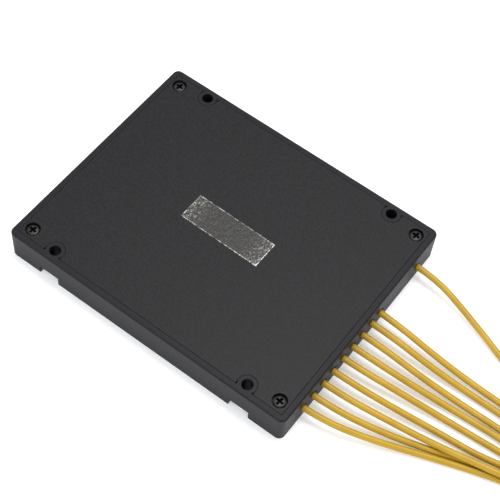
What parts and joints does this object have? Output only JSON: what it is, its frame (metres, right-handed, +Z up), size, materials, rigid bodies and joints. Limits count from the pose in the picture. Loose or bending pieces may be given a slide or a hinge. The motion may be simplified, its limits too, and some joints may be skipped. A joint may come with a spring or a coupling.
{
  "type": "coarse wavelength division multiplexer module",
  "caption": "Flat black plastic optical multiplexer box with a screwed lid, mounting holes at its corners and a row of yellow fibre pigtails that end in small push-pull connectors.",
  "frame": {"origin": "centre of the housing's bottom face", "axes": "+X along the housing's length towards the cable side, +Y across it, +Z up out of the lid"},
  "size_m": [0.348, 0.08, 0.0212],
  "materials": {
    "housing_black": "fine-grained moulded ABS",
    "screw_black": "black oxide steel",
    "seal_foil": "crinkled foil film",
    "jacket_yellow": "satin cable jacket",
    "tie_black": "woven hook-and-loop strap",
    "connector_blue": "moulded, slightly glossy",
    "boot_white": "soft moulded",
    "cap_white": "translucent moulded",
    "ferrule_white": "polished ceramic",
    "filter_steel": "drawn tube",
    "pad_foam": "adhesive foam",
    "fibre_clear": "coated glass fibre",
    "sleeve_clear": "shrunk sleeve",
    "anchor_bead": "cured bead"
  },
  "bodies": {
    "root": {"base_tray": "housing_black", "lid": "housing_black", "lid_screws": "screw_black", "tamper_seal": "seal_foil", "pigtail_coil": "jacket_yellow", "coil_ties": "tie_black", "ferrules": "ferrule_white", "filter_pad": "pad_foam", "fibre_loop": "fibre_clear", "splice_sleeves": "sleeve_clear", "cable_anchor": "anchor_bead", "pigtail_1": "jacket_yellow", "pigtail_2": "jacket_yellow", "pigtail_3": "jacket_yellow", "pigtail_4": "jacket_yellow", "pigtail_5": "jacket_yellow", "pigtail_6": "jacket_yellow", "pigtail_7": "jacket_yellow", "pigtail_8": "jacket_yellow", "pigtail_9": "jacket_yellow", "pigtail_10": "jacket_yellow", "connector_1": "connector_blue", "connector_2": "connector_blue", "connector_3": "connector_blue", "connector_4": "connector_blue", "connector_5": "connector_blue", "connector_6": "connector_blue", "connector_7": "connector_blue", "connector_8": "connector_blue", "connector_9": "connector_blue", "connector_10": "connector_blue", "boot_1": "boot_white", "boot_2": "boot_white", "boot_3": "boot_white", "boot_4": "boot_white", "boot_5": "boot_white", "boot_6": "boot_white", "boot_7": "boot_white", "boot_8": "boot_white", "boot_9": "boot_white", "boot_10": "boot_white", "dust_cap_1": "cap_white", "dust_cap_2": "cap_white", "dust_cap_3": "cap_white", "dust_cap_4": "cap_white", "dust_cap_5": "cap_white", "dust_cap_6": "cap_white", "dust_cap_7": "cap_white", "dust_cap_8": "cap_white", "dust_cap_9": "cap_white", "dust_cap_10": "cap_white", "filter_1": "filter_steel", "filter_2": "filter_steel", "filter_3": "filter_steel", "filter_4": "filter_steel", "filter_5": "filter_steel", "filter_6": "filter_steel", "filter_7": "filter_steel", "filter_8": "filter_steel"}
  },
  "joints": []
}
